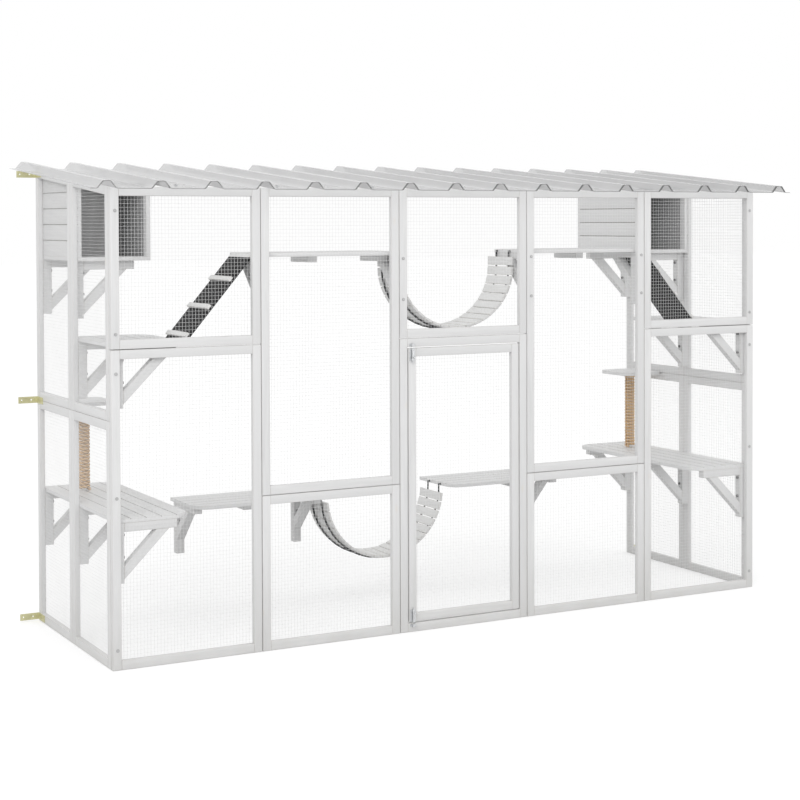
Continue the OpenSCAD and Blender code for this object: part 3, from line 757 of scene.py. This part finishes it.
# %% Bare galvanised wire
def galvanised_wire():
    material, tree, shader = new_material("galvanised_wire", Metallic=0.2)
    spangle = noise_mask(tree, surface_place(tree), 160.0, 2.0)
    base = mix_colour(tree, spangle, (0.72, 0.72, 0.72, 1), (0.90, 0.90, 0.90, 1))
    tree.links.new(base, shader.inputs["Base Color"])
    tree.links.new(remap(tree, spangle, WHOLE, (0.38, 0.62)), shader.inputs["Roughness"])
    return material


WIRE_FINISH = galvanised_wire()
WIRE_R = 0.00045
WIRE_SIDES = 6
WELD_DEPTH = 0.9


def add_wire(mesh, a, b):
    """A straight wire between two points."""
    along = (b - a).normalized()
    u = along.orthogonal().normalized()
    v = along.cross(u)
    rings = []
    for end in (a, b):
        rings.append([
            mesh.verts.new(end + WIRE_R * (math.cos(t) * u + math.sin(t) * v))
            for t in (math.tau * k / WIRE_SIDES for k in range(WIRE_SIDES))
        ])
    for k in range(WIRE_SIDES):
        n = (k + 1) % WIRE_SIDES
        mesh.faces.new((rings[0][k], rings[0][n], rings[1][n], rings[1][k]))
    mesh.faces.new(rings[0][::-1])
    mesh.faces.new(rings[1])


print("wire", WIRE_FINISH.name, "with radius", WIRE_R)

# %% [markdown]
# ## Where the wires run
#
# A net could be filled from its outline by a wireframe modifier, but that gives
# no welded crossings. Each sheet of a CAD net is measured instead: two corners,
# which way it runs, and how high its top edge is at both ends. Wires are then
# spaced evenly between its edges, as close to the real pitch as fits.

# %% Sheets of a net
PITCH_ACROSS = 0.01305
PITCH_UP = {"front_net": 0.0140, "door_net": 0.0140, "left_net": 0.0130, "right_net": 0.0130}
AT_CORNER = 1e-5


def even_places(low, high, pitch):
    """Wire places between two limits at about the given pitch."""
    count = max(2, round((high - low) / pitch))
    return [low + (high - low) * k / count for k in range(count + 1)]


def net_sheets(node):
    """Each sheet of a CAD net: low corner, high corner, its run, its top at the near and far end."""
    mesh = clean_copy(node)
    sheets = []
    for part in loose_parts(mesh):
        places = [vert.co.copy() for vert in part]
        low = Vector([min(p[k] for p in places) for k in range(3)])
        high = Vector([max(p[k] for p in places) for k in range(3)])
        run = 1 if high.x - low.x < high.y - low.y else 0
        near = max(p.z for p in places if abs(p[run] - low[run]) < AT_CORNER)
        far = max(p.z for p in places if abs(p[run] - high[run]) < AT_CORNER)
        sheets.append((low, high, run, near, far))
    mesh.free()
    return sheets


print("sheets can be measured")

# %% Weave the nets
def weave_sheet(mesh, low, high, run, near, far, pitch_up):
    """All the wires of one sheet."""
    flat = 1 - run
    middle = (low[flat] + high[flat]) / 2
    back, front = middle + WIRE_R * WELD_DEPTH, middle - WIRE_R * WELD_DEPTH

    def at(along, depth, z):
        point = Vector((0, 0, z))
        point[run], point[flat] = along, depth
        return point

    width = high[run] - low[run]
    for place in even_places(low[run] + WIRE_R, high[run] - WIRE_R, PITCH_ACROSS):
        top = near + (far - near) * (place - low[run]) / width
        add_wire(mesh, at(place, back, low.z), at(place, back, top))
    for z in even_places(low.z + WIRE_R, max(near, far) - WIRE_R, pitch_up):
        start, end = low[run], high[run]
        if z > min(near, far) and abs(far - near) > ON_EDGE:
            start = low[run] + width * (z - near) / (far - near)
        add_wire(mesh, at(start, front, z), at(end, front, z))


def weave_net(node):
    """Replaces a CAD net by real wires."""
    mesh = bmesh.new()
    for low, high, run, near, far in net_sheets(node):
        weave_sheet(mesh, low, high, run, near, far, PITCH_UP[node])
    made = to_object(mesh, node + "_wires", WIRE_FINISH, smooth_angle=80)
    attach(made, body_of_node[node])
    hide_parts(node)
    return made


for node in ["front_net", "door_net", "left_net", "right_net"]:
    wires = weave_net(node)
    print(wires.name, len(wires.data.polygons), "faces")

# %% [markdown]
# ## Clear ribbed roof
#
# The roof is a thin moulded sheet. It could be glass, but glass that is one
# millimetre thick and nearly edge-on renders slowly and throws hard shadows.
# The sheet is instead a neutral grey, partly see-through plastic that closes up
# where it is seen at a flat angle, and lets most of the light through to what
# lies below. That grey and the closing up are partly the sheet's faint tint and
# partly a painted reflection of the white studio around it. Its bends are
# rounded as a moulded sheet's are. The sawn front edge looks dark, because
# light runs along the sheet and leaves it there, so that edge gets a painted
# shade: a dark strip that is nearly opaque.

# %% Clear sheet
# the strip of painted shade along the sawn front edge: its width, its fade and how opaque it is
CUT_EDGE = 0.012
CUT_FADE = 0.001
CUT_OPACITY = 0.92
LIGHT_PASSED = 0.88


def clear_sheet(front_y):
    material, tree, shader = new_material("clear_sheet", Roughness=0.16, IOR=1.49)
    where = surface_place(tree)
    film = noise_mask(tree, where, 5.0, 5.0)
    # the grey stands partly for the sheet's tint and partly for a painted reflection of the white
    # studio
    base = mix_colour(tree, film, (0.50, 0.50, 0.505, 1), (0.62, 0.62, 0.62, 1))
    depth = add_node(tree, "ShaderNodeSeparateXYZ", {"Vector": where}).outputs["Y"]
    # painted shade along the sawn front edge
    cut = remap(tree, depth, (front_y + CUT_EDGE, front_y + CUT_EDGE + CUT_FADE), (1.0, 0.0))
    base = mix_colour(tree, cut, base, (0.12, 0.12, 0.12, 1))
    tree.links.new(base, shader.inputs["Base Color"])
    # painted reflection: the sheet closes up at flat angles, as the reflection of a clear sheet would
    # cover it
    facing = add_node(tree, "ShaderNodeLayerWeight", {"Blend": 0.35}).outputs["Facing"]
    body = remap(tree, facing, WHOLE, (0.34, 0.80))
    alpha = math_node(tree, "MAXIMUM", body, math_node(tree, "MULTIPLY", cut, CUT_OPACITY))
    path = add_node(tree, "ShaderNodeLightPath").outputs
    passing = math_node(tree, "MAXIMUM", path["Is Shadow Ray"], path["Is Diffuse Ray"])
    kept = math_node(tree, "SUBTRACT", 1.0, math_node(tree, "MULTIPLY", passing, LIGHT_PASSED))
    tree.links.new(math_node(tree, "MULTIPLY", alpha, kept), shader.inputs["Alpha"])
    add_relief(tree, shader, film, 0.15, 0.002)
    return material


print("clear sheet ready")

# %% Roof
BEND_R = 0.004
RIB_LENGTH = 0.5


def make_roof():
    mesh = clean_copy("roof_sheet")
    bends = [
        edge for edge in mesh.edges
        if len(edge.link_faces) == 2
        and abs(edge.verts[0].co.y - edge.verts[1].co.y) > RIB_LENGTH
        and math.radians(20) < edge.calc_face_angle(0) < math.radians(80)
    ]
    bmesh.ops.bevel(mesh, geom=bends, offset=BEND_R, offset_type="OFFSET", segments=3,
                    profile=0.5, affect="EDGES", clamp_overlap=True)
    front_y = min(vert.co.y for vert in mesh.verts)
    roof = to_object(mesh, "roof_clear_sheet", clear_sheet(front_y), smooth_angle=30)
    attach(roof, "root")
    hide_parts("roof_sheet")
    return roof


print("roof", len(make_roof().data.polygons), "faces")

# %% [markdown]
# ## Metal
#
# Hinges, bolts and screws keep their CAD shapes. They are small, so a modifier
# rounds their edges, and the finish does the rest: bright zinc on the fittings
# and yellow zinc on the wall angles. The frame bolts have light heads in front
# and dull dark nuts behind, so their tone goes by how far back a point lies.

# %% Metal finishes
def plated(name, dark, light, metallic, roughness):
    material, tree, shader = new_material(name, Metallic=metallic)
    where = surface_place(tree)
    bloom = noise_mask(tree, where, 75.0, 5.0)
    tree.links.new(mix_colour(tree, bloom, (*dark, 1), (*light, 1)), shader.inputs["Base Color"])
    rough = remap(tree, bloom, WHOLE, (roughness - 0.12, roughness + 0.15))
    tree.links.new(rough, shader.inputs["Roughness"])
    add_relief(tree, shader, noise_mask(tree, where, 1400.0, 2.0), 0.12, 0.0004)
    return material


HEAD_T = 0.004
HEAD_FADE = 0.002
NUT_COLOUR = (0.16, 0.16, 0.16, 1)


def bolt_finish():
    """Bright heads on the front of the frame, dull dark nuts on the brackets behind it."""
    material = plated("bolt_plating", (0.40, 0.40, 0.40), (0.60, 0.60, 0.60), 0.6, 0.45)
    tree = material.node_tree
    base_colour = tree.nodes["Principled BSDF"].inputs["Base Color"]
    bright = base_colour.links[0].from_socket
    depth = add_node(tree, "ShaderNodeSeparateXYZ", {"Vector": surface_place(tree)}).outputs["Y"]
    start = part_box("front_frame_1_low")[0].y + HEAD_T
    behind = remap(tree, depth, (start, start + HEAD_FADE), WHOLE)
    tree.links.new(mix_colour(tree, behind, bright, NUT_COLOUR), base_colour)
    return material


ZINC = plated("bright_zinc", (0.50, 0.51, 0.52), (0.72, 0.73, 0.74), 0.9, 0.36)
YELLOW_ZINC = plated("yellow_zinc", (0.52, 0.49, 0.28), (0.74, 0.72, 0.44), 0.45, 0.42)
print("metal", ZINC.name, YELLOW_ZINC.name)

# %% Finish the metal pieces
METAL_NODES = {
    "hinge_frame_plates": ZINC, "hinge_door_plates": ZINC, "hinge_pins": ZINC,
    "bolt_bodies": ZINC, "upper_bolt_rod": ZINC, "lower_bolt_rod": ZINC, "bolt_keepers": ZINC,
    "roof_screws": ZINC, "wall_angles": YELLOW_ZINC, "frame_bolts": bolt_finish(),
}
METAL_WELD = 1e-5
METAL_EASE = 0.0004


def finish_metal(node, material):
    """Gives a CAD node a metal finish and slightly rounded edges."""
    piece = nodes[node]
    piece.data.materials.clear()
    piece.data.materials.append(material)
    weld = piece.modifiers.new("weld", "WELD")
    weld.merge_threshold = METAL_WELD
    ease = piece.modifiers.new("ease", "BEVEL")
    ease.width = METAL_EASE
    ease.segments = 2
    ease.limit_method = "ANGLE"
    ease.angle_limit = math.radians(40)


for node, material in METAL_NODES.items():
    finish_metal(node, material)
print(len(METAL_NODES), "metal nodes")

# %% [markdown]
# ## Sisal
#
# Sisal rope is three twisted strands. The CAD winding gives the turns; here the
# same line gets the real section: three lobes that turn as the rope runs, so
# that the strands show as slanting ridges. A relief on a round tube would be
# lighter, but its outline would stay smooth. The colour is a warm straw brown,
# with a painted shade in the hollows between the strands, on top of the shade
# that the lobes cast there.

# %% Sisal finish
def sisal_finish():
    material, tree, shader = new_material("sisal_rope", Roughness=0.92)
    where = surface_place(tree)
    fibre = noise_mask(tree, where, 700.0, 3.0)
    patch = noise_mask(tree, where, 25.0, 3.0)
    hollow_shade = math_node(tree, "SUBTRACT", 1.0, mesh_mask(tree, "lobe"))
    base = mix_colour(tree, patch, (0.62, 0.36, 0.15, 1), (0.80, 0.53, 0.26, 1))
    base = mix_colour(tree, fibre, base, (0.86, 0.60, 0.33, 1))
    # painted shade: the hollows between the strands are painted dark
    base = mix_colour(tree, hollow_shade, base, (0.16, 0.075, 0.03, 1))
    tree.links.new(base, shader.inputs["Base Color"])
    add_relief(tree, shader, fibre, 0.7, 0.0015)
    return material


STRANDS = 3


def twisted_tube(mesh, points, r, lay, sides, depth):
    """A tube along points whose three strands turn once in every lay."""
    layer = mesh.verts.layers.float.get("lobe") or mesh.verts.layers.float.new("lobe")
    run, rings = 0.0, []
    up = Vector((0, 0, 1))
    for i, point in enumerate(points):
        before, after = points[max(i - 1, 0)], points[min(i + 1, len(points) - 1)]
        along = (after - before).normalized()
        if abs(along.dot(up)) > 0.95:
            up = Vector((0, 1, 0))
        side = up.cross(along).normalized()
        top = along.cross(side)
        run += (point - before).length
        ring = []
        for k in range(sides):
            t = math.tau * k / sides
            ridge = abs(math.cos(STRANDS / 2 * (t - math.tau * run / lay)))
            reach = r * (1 - depth * (1 - ridge))
            vert = mesh.verts.new(point + reach * (math.cos(t) * side + math.sin(t) * top))
            # 1 on a ridge and 0 in a hollow; the rope finishes paint shade into the hollows by it
            vert[layer] = ridge ** 0.5
            ring.append(vert)
        rings.append(ring)
    for a, b in zip(rings, rings[1:]):
        for k in range(sides):
            n = (k + 1) % sides
            mesh.faces.new((a[k], b[k], b[n], a[n]))
    mesh.faces.new(rings[0])
    mesh.faces.new(rings[-1][::-1])


print("twisted tube ready")

# %% [markdown]
# ## Rope round the posts
#
# Each post is wound with one rope, turn upon turn. A stack of rings would look
# the same from afar, but a real winding climbs as it goes round, so its line is
# a helix, with a straight end at the foot and at the top. Height and width are
# measured on the CAD winding, and the two posts mirror each other.

# %% Post windings
TURNS = 24
STEPS_PER_TURN = 30
SISAL_R = 0.00675
SISAL_LAY = 0.045
SISAL_SIDES = 15
SISAL_DEPTH = 0.22


def wind_post(mesh, axis_x, axis_y, low, high, outer_r, flip):
    """One rope wound from low to high round an upright axis, with straight ends."""
    r = outer_r - SISAL_R
    rise = (high - low - 2 * SISAL_R) / TURNS
    total = TURNS * STEPS_PER_TURN

    def at(k):
        t = math.tau * k / STEPS_PER_TURN
        return Vector((
            axis_x + flip * r * math.cos(t), axis_y + r * math.sin(t),
            low + SISAL_R + k * rise / STEPS_PER_TURN,
        ))

    tail = Vector((0, 2 * SISAL_R, 0))
    line = [at(0) - tail, at(0) - tail / 2] + [at(k) for k in range(total + 1)]
    line += [at(total) + tail / 2, at(total) + tail]
    twisted_tube(mesh, line, SISAL_R, SISAL_LAY, SISAL_SIDES, SISAL_DEPTH)


def make_windings():
    low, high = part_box("post_windings")
    core_low, core_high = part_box("post_cores")
    outer = (high.y - low.y) / 2
    middle_y = (core_low.y + core_high.y) / 2
    core_r = (core_high.y - core_low.y) / 2
    mesh = bmesh.new()
    for flip in (1, -1):
        middle_x = flip * (core_low.x + core_r)
        wind_post(mesh, middle_x, middle_y, low.z, high.z, outer, flip)
    bmesh.ops.recalc_face_normals(mesh, faces=mesh.faces)
    winding = to_object(mesh, "sisal_windings", sisal_finish(), smooth_angle=75)
    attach(winding, "root")
    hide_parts("post_windings")
    return winding


print("windings", len(make_windings().data.polygons), "faces")

# %% [markdown]
# ## Bridge ropes
#
# Each bridge hangs on two black ropes, from the end of one shelf to the end of
# the next. A catenary would be the textbook line. The slats are stiff and close
# together, so the real bridge hangs fuller than that: nearly straight down at
# both ends and round below. Half an ellipse under two short straight drops fits
# it well. Every slat keeps the rope straight, so it bends between slats only.

# %% The line of a bridge rope
SLAT_PITCH = 0.042
SLAT_WIDTH = 0.036
ROPE_LEAD = 0.008
ROPE_SEAT = 0.0003


def hanging_line(left, right, top, sag, drop):
    """Points (x, z) of one rope: a drop, half an ellipse, a drop."""
    half = (right - left) / 2 - ROPE_LEAD
    middle = (left + right) / 2
    line = [(middle - half, top)]
    for degrees in range(0, 181, 3):
        t = math.radians(degrees)
        line.append((middle - half * math.cos(t), top - drop - (sag - drop) * math.sin(t)))
    return line + [(middle + half, top)]


def place_on_line(line, distance):
    """The point at a distance along a line of points."""
    for a, b in zip(line, line[1:]):
        step = math.dist(a, b)
        if distance <= step and step > 0:
            k = distance / step
            return a[0] + k * (b[0] - a[0]), a[1] + k * (b[1] - a[1])
        distance -= step
    return line[-1]


def bent_rope(left, right, top, sag, drop, y):
    """The rope's corner points, halfway between slats, with its ends in the shelves."""
    line = hanging_line(left, right, top, sag, drop)
    length = sum(math.dist(a, b) for a, b in zip(line, line[1:]))
    slats = int((length - SLAT_WIDTH) / SLAT_PITCH)
    corners = [(left + ROPE_SEAT, top), (left + ROPE_LEAD, top)]
    for k in range(slats + 1):
        corners.append(place_on_line(line, length / 2 + (k - slats / 2) * SLAT_PITCH))
    corners += [(right - ROPE_LEAD, top), (right - ROPE_SEAT, top)]
    return [Vector((x, y, z)) for x, z in corners], slats


def fine_steps(corners, step):
    """Evenly spaced points along straight stretches between corners."""
    points = [corners[0]]
    for a, b in zip(corners, corners[1:]):
        count = max(1, round((b - a).length / step))
        points += [a.lerp(b, k / count) for k in range(1, count + 1)]
    return points


print("rope line ready")

# %% [markdown]
# ## Rope under the slats
#
# The rope is thin black cord of three strands. A plain round tube would pass
# from the photograph's distance, but the gaps between slats show it from close
# by, so it gets the same twisted section as the sisal, with a shorter lay.

# %% Black rope
def black_rope_finish():
    material, tree, shader = new_material("black_rope", Roughness=0.75)
    fibre = noise_mask(tree, surface_place(tree), 900.0, 2.0)
    lobe = mesh_mask(tree, "lobe")
    # painted shade: the hollows between the strands are darker than the ridges
    base = mix_colour(tree, lobe, (0.006, 0.006, 0.007, 1), (0.035, 0.035, 0.038, 1))
    base = mix_colour(tree, math_node(tree, "MULTIPLY", fibre, 0.4), base, (0.07, 0.07, 0.075, 1))
    tree.links.new(base, shader.inputs["Base Color"])
    add_relief(tree, shader, fibre, 0.5, 0.0008)
    return material


BLACK_ROPE = black_rope_finish()
print("rope", BLACK_ROPE.name)

# %% Bridge ropes
BOARD_T = 0.015
ROPE_SPACING = 0.100
ROPE_R = 0.004
ROPE_LAY = 0.022
ROPE_SIDES = 12
ROPE_DEPTH = 0.2
ROPE_STEP = 0.003
BRIDGES = [
    ("high_bridge_slats", "left_high_shelf", "right_high_shelf", {"sag": 0.320, "drop": 0.060}),
    ("low_bridge_slats", "left_low_shelf", "right_low_shelf", {"sag": 0.305, "drop": 0.010}),
]


def make_bridge_ropes():
    """Two twisted ropes under each bridge, in the place of the CAD ropes."""
    mesh = bmesh.new()
    for slats_node, left_node, right_node, hang in BRIDGES:
        left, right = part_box(left_node)[1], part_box(right_node)[0]
        slats_low, slats_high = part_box(slats_node)
        middle_y = (slats_low.y + slats_high.y) / 2
        top = left.z - BOARD_T / 2
        for side in (-1, 1):
            y = middle_y + side * ROPE_SPACING / 2
            corners, slats = bent_rope(left.x, right.x, top, y=y, **hang)
            line = fine_steps(corners, ROPE_STEP)
            twisted_tube(mesh, line, ROPE_R, ROPE_LAY, ROPE_SIDES, ROPE_DEPTH)
        print(slats_node, slats, "slats; rope foot at", round(min(p.z for p in corners), 4))
    bmesh.ops.recalc_face_normals(mesh, faces=mesh.faces)
    ropes = to_object(mesh, "black_bridge_ropes", BLACK_ROPE, smooth_angle=75)
    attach(ropes, "root")
    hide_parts("bridge_ropes")
    return ropes


print("ropes", len(make_bridge_ropes().data.polygons), "faces")

# %% [markdown]
# ## Floor
#
# The photograph is a cut-out on white, with the faintest shadow. A floor that is
# lit until it turns white would throw too much light up at the object. Here it
# is a plain light grey with a glow that only the camera sees, straight on or by
# way of a mirror or glass, so it looks white and still keeps its shadow.

# %% Floor
FLOOR_GREY = (0.60, 0.60, 0.60, 1)
FLOOR_GLOW = (0.47, 0.51)
GLOW_REACH = (1.5, 5.0)
FLOOR_HALF = 60
FLOOR_Z = -0.001
WHITE = (1, 1, 1, 1)


def seen_directly(tree):
    """1 for rays from the camera, a mirror-like surface or glass, and 0 for light."""
    path = add_node(tree, "ShaderNodeLightPath").outputs
    seen = math_node(tree, "MAXIMUM", path["Is Camera Ray"], path["Is Glossy Ray"])
    return math_node(tree, "MAXIMUM", seen, path["Is Transmission Ray"])


def white_stage():
    """Light grey, with a glow that grows away from the object as the lamps fall off."""
    material = bpy.data.materials.new("stage_white")
    material.use_nodes = True
    tree = material.node_tree
    tree.nodes.clear()
    reach = add_node(tree, "ShaderNodeVectorMath", operation="LENGTH")
    tree.links.new(surface_place(tree), reach.inputs[0])
    glow_here = remap(tree, reach.outputs["Value"], GLOW_REACH, FLOOR_GLOW)
    strength = math_node(tree, "MULTIPLY", seen_directly(tree), glow_here)
    diffuse = add_node(tree, "ShaderNodeBsdfDiffuse", {"Color": FLOOR_GREY})
    glow = add_node(tree, "ShaderNodeEmission", {"Color": WHITE, "Strength": strength})
    both = tree.nodes.new("ShaderNodeAddShader")
    tree.links.new(diffuse.outputs[0], both.inputs[0])
    tree.links.new(glow.outputs[0], both.inputs[1])
    out = add_node(tree, "ShaderNodeOutputMaterial")
    tree.links.new(both.outputs[0], out.inputs["Surface"])
    return material


def make_floor():
    mesh = bmesh.new()
    bmesh.ops.create_grid(mesh, x_segments=1, y_segments=1, size=FLOOR_HALF)
    data = bpy.data.meshes.new("floor")
    mesh.to_mesh(data)
    mesh.free()
    data.materials.append(white_stage())
    floor = bpy.data.objects.new("floor", data)
    floor.location.z = FLOOR_Z
    bpy.context.scene.collection.objects.link(floor)
    return floor


print("floor", make_floor().name)

# %% [markdown]
# ## Light
#
# A studio lights such an object from all around. Two large soft lamps and an
# even sky do that here. The left lamp is the stronger one, which shades the
# faces that turn to the right. The sky gives less light than the white that the
# camera sees, so that the white paint keeps its shading.

# %% Lamps and sky
KEY_WATTS = 208
FILL_WATTS = 90
SKY_LIGHT = 0.86
LAMPS = {"key": ((-5.5, -5.5, 5.0), KEY_WATTS), "fill": ((6.0, -5.0, 3.5), FILL_WATTS)}
LAMP_SIZE = (5, 4)
LAMPS_AIM = (0, 0, 0.9)


def area_lamp(name, at, power):
    """A large soft lamp that is aimed at the middle of the object."""
    data = bpy.data.lights.new(name, "AREA")
    data.shape = "RECTANGLE"
    data.size, data.size_y = LAMP_SIZE
    data.energy = power
    lamp = bpy.data.objects.new(name, data)
    lamp.location = at
    lamp.rotation_euler = (Vector(LAMPS_AIM) - Vector(at)).to_track_quat("-Z", "Y").to_euler()
    bpy.context.scene.collection.objects.link(lamp)
    return lamp


def white_sky():
    world = bpy.data.worlds.new("white_sky")
    bpy.context.scene.world = world
    world.use_nodes = True
    tree = world.node_tree
    tree.nodes.clear()
    light = add_node(tree, "ShaderNodeBackground", {"Color": WHITE, "Strength": SKY_LIGHT})
    seen = add_node(tree, "ShaderNodeBackground", {"Color": WHITE, "Strength": 1.0})
    mix = add_node(tree, "ShaderNodeMixShader", {"Fac": seen_directly(tree)})
    tree.links.new(light.outputs[0], mix.inputs[1])
    tree.links.new(seen.outputs[0], mix.inputs[2])
    out = add_node(tree, "ShaderNodeOutputWorld")
    tree.links.new(mix.outputs[0], out.inputs["Surface"])


for name, (at, power) in LAMPS.items():
    print("lamp", area_lamp(name, at, power).name, power, "W")
white_sky()
bpy.context.scene.view_settings.view_transform = "Standard"
